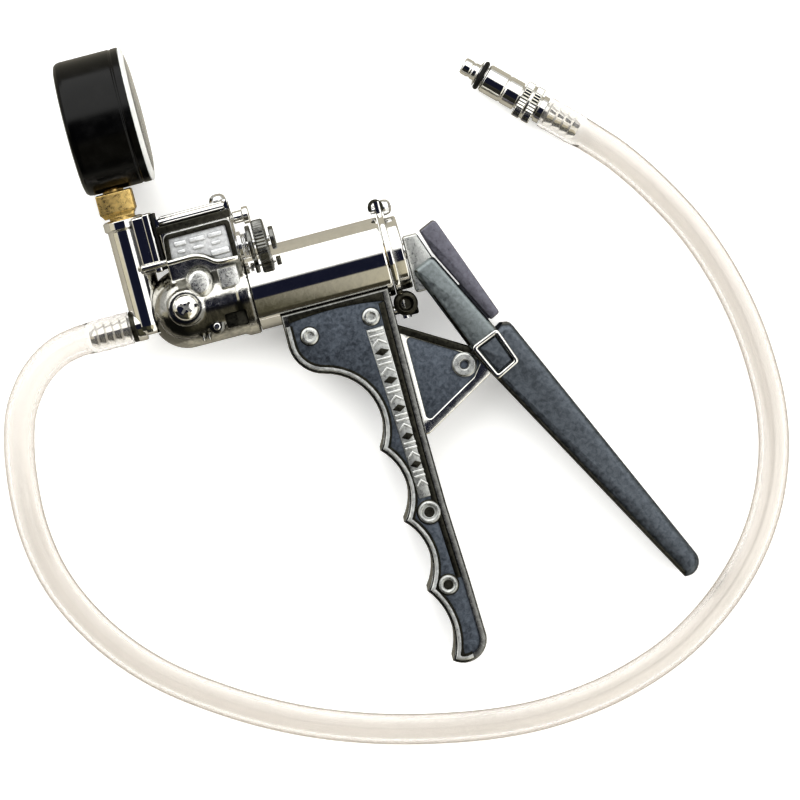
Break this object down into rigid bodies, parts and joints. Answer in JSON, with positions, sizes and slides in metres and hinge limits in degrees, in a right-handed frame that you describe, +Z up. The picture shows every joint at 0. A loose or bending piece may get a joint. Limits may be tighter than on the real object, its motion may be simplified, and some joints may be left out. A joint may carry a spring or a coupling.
{
  "type": "hand vacuum pump",
  "caption": "Hand-squeezed vacuum pump lying on its side: plated cylinder and head, edge-on gauge on a brass stem, pistol grip and lever, clear hose ending in a plug-in coupling.",
  "frame": {"origin": "centre of the pump's footprint on the table, without the hose and its coupling", "axes": "+X runs back along the cylinder from the hose barb to the lever, +Y up the grip towards the gauge, +Z up from the table; the pump lies on its far side"},
  "size_m": [0.2412, 0.2367, 0.0422],
  "materials": {
    "nickel": "polished nickel plate on die-cast metal",
    "satin_steel": "satin blue-grey die-cast metal",
    "bright_steel": "bright plated steel",
    "brass": "plain turned brass",
    "black_plastic": "gloss black",
    "white_plate": "white dial",
    "rubber": "black",
    "clear": "clear flexible or rigid plastic"
  },
  "bodies": {
    "pump_body": {"bourdon_tube": "brass", "coupling_body": "nickel", "coupling_collar": "bright_steel", "coupling_o_ring": "rubber", "cylinder_tube": "nickel", "gauge_case": "black_plastic", "gauge_dial": "white_plate", "gauge_lens": "clear", "gauge_stem": "brass", "grip_half_far": "satin_steel", "grip_half_near": "satin_steel", "grip_screw": "bright_steel", "head_casting": "nickel", "head_o_ring": "rubber", "head_pin": "bright_steel", "hose": "clear", "hose_barb": "nickel", "inlet_manifold": "nickel", "inlet_sleeve": "clear", "inlet_valve_disc": "rubber", "inlet_valve_spring": "bright_steel", "lower_rivet_1": "bright_steel", "lower_rivet_2": "bright_steel", "lug_screw": "bright_steel", "manifold_gasket": "rubber", "movement_frame": "brass", "outlet_sleeve": "clear", "passage_plug": "nickel", "pivot_bracket": "satin_steel", "pivot_pin": "bright_steel", "rear_cap": "nickel", "release_bush": "bright_steel", "release_spring": "bright_steel", "return_spring": "bright_steel", "rod_bush": "brass", "top_cover": "nickel", "top_cover_screw": "bright_steel", "upper_rivet_1": "bright_steel", "upper_rivet_2": "bright_steel", "valve_cap_screw": "nickel", "valve_housing": "nickel"},
    "lever": {"lever_handle": "satin_steel", "lever_cheek_near": "satin_steel", "lever_cheek_far": "satin_steel", "lever_spine": "satin_steel"},
    "piston_unit": {"piston": "bright_steel", "piston_seal": "rubber", "piston_nut": "bright_steel", "piston_rod": "bright_steel", "rod_end": "satin_steel", "rod_pin": "bright_steel"},
    "release_plunger": {"release_stem": "bright_steel", "release_washer": "nickel", "release_knob": "nickel", "release_end_nut": "nickel"},
    "gauge_hand": {"gauge_pointer": "black_plastic", "pinion_shaft": "brass"},
    "gauge_sector": {"sector_gear": "brass"}
  },
  "joints": [
    {"name": "lever_squeeze", "type": "hinge", "parent": "pump_body", "child": "lever", "pos_m": [0.02736, -0.01577, 0.01495], "axis": [0, 0.0615, -0.9981], "range_deg": [0, 30], "stiffness_Nm_per_rad": 0.6, "springref_deg": -20.05},
    {"name": "piston_stroke", "type": "slide", "parent": "pump_body", "child": "piston_unit", "axis": [1, 0, 0], "range_m": [0, 0.0154], "deforming": ["return_spring"]},
    {"name": "release_press", "type": "slide", "parent": "pump_body", "child": "release_plunger", "axis": [-1, 0, 0], "range_m": [0, 0.0015], "stiffness_N_per_m": 800, "springref_m": -0.002, "deforming": ["release_spring"]},
    {"name": "pointer_turn", "type": "hinge", "parent": "pump_body", "child": "gauge_hand", "pos_m": [-0.05524, 0.08404, 0.0211], "axis": [-1, 0, 0], "range_deg": [0, 270]},
    {"name": "sector_turn", "type": "hinge", "parent": "pump_body", "child": "gauge_sector", "pos_m": [-0.05524, 0.07855, 0.02076], "axis": [-1, 0, 0], "range_deg": [-54, 0]}
  ],
  "couplings": [
    {"joint": "piston_stroke", "follows": "lever_squeeze", "m_per_rad": 0.028707},
    {"joint": "pointer_turn", "follows": "sector_turn", "ratio": -5}
  ]
}
